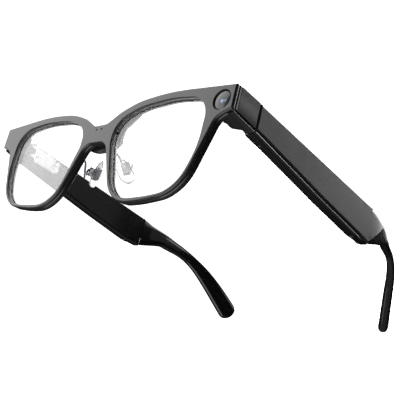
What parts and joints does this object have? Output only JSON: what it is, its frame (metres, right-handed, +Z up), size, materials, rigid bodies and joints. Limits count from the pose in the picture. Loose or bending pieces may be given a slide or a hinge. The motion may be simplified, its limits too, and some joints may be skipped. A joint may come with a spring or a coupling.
{
  "type": "smart glasses",
  "caption": "Smart glasses with a satin black front, camera window, clear display lenses, adjustable nose pads and folding electronic temples.",
  "frame": {"origin": "centre of the bridge's flat front face", "axes": "+Z up, -Y out of the front of the glasses, +Y along the temples, +X towards the wearer's left"},
  "size_m": [0.1528, 0.17, 0.0519],
  "materials": {
    "satin_black": "satin, fine moulded texture",
    "gloss_black_shell": "smooth dark shell",
    "ear_tip": "glossy black",
    "clear_lens": "clear coated",
    "waveguide_glass": "clear optical",
    "camera_glass": "dark polished",
    "silicone": "translucent soft",
    "steel": "satin steel",
    "circuit_board": "solder mask",
    "cell_foil": "pouch foil",
    "speaker_metal": "pressed can",
    "gold_contact": "plated",
    "touch_film": "polyimide film",
    "dark_internals": "matte black"
  },
  "bodies": {
    "front": {"front_cover": "satin_black", "front_gasket": "dark_internals", "rear_frame": "satin_black", "lens_left": "clear_lens", "lens_right": "clear_lens", "waveguide_left": "waveguide_glass", "waveguide_right": "waveguide_glass", "engine_housing": "satin_black", "light_engine": "dark_internals", "camera_window": "camera_glass", "camera_barrel": "dark_internals", "camera_board": "circuit_board", "light_sensor": "dark_internals", "end_cover_left": "satin_black", "end_cover_right": "satin_black", "pad_arm_left": "steel", "pad_arm_right": "steel", "pad_box_left": "steel", "pad_box_right": "steel", "hinge_front_left": "steel", "hinge_front_right": "steel", "hinge_pin_left": "steel", "hinge_pin_right": "steel"},
    "temple_left": {"hinge_temple_left": "steel", "hinge_screw_left": "steel", "temple_outer_left": "satin_black", "temple_inner_left": "gloss_black_shell", "ear_tip_left": "ear_tip", "tip_core_left": "steel", "battery_left": "cell_foil", "sensor_board": "circuit_board", "speaker_left": "speaker_metal", "speaker_grille_left": "steel", "mic_mesh_left": "steel"},
    "temple_right": {"hinge_temple_right": "steel", "hinge_screw_right": "steel", "temple_outer_right": "satin_black", "temple_inner_right": "gloss_black_shell", "ear_tip_right": "ear_tip", "tip_core_right": "steel", "battery_right": "cell_foil", "main_board": "circuit_board", "touch_strip": "touch_film", "speaker_right": "speaker_metal", "speaker_grille_right": "steel", "mic_mesh_right": "steel", "charging_contacts": "gold_contact"},
    "button": {"capture_button": "satin_black"},
    "pad_left": {"nose_pad_left": "silicone", "pad_core_left": "steel"},
    "pad_right": {"nose_pad_right": "silicone", "pad_core_right": "steel"}
  },
  "joints": [
    {"name": "fold_left", "type": "hinge", "parent": "front", "child": "temple_left", "pos_m": [0.0673, 0.0135, 0.004], "axis": [0, 0, 1], "range_deg": [0, 88]},
    {"name": "fold_right", "type": "hinge", "parent": "front", "child": "temple_right", "pos_m": [-0.0673, 0.0135, 0.004], "axis": [0, 0, -1], "range_deg": [0, 62]},
    {"name": "capture_press", "type": "slide", "parent": "temple_right", "child": "button", "axis": [0, 0, -1], "range_m": [0, 0.0004], "stiffness_N_per_m": 1500, "springref_m": -0.0006},
    {"name": "pad_rock_left", "type": "hinge", "parent": "front", "child": "pad_left", "pos_m": [0.01089, 0.01116, -0.01204], "axis": [0.4226, 0.8002, 0.4255], "range_deg": [-6, 6]},
    {"name": "pad_rock_right", "type": "hinge", "parent": "front", "child": "pad_right", "pos_m": [-0.01089, 0.01116, -0.01204], "axis": [-0.4226, 0.8002, 0.4255], "range_deg": [-6, 6]}
  ]
}
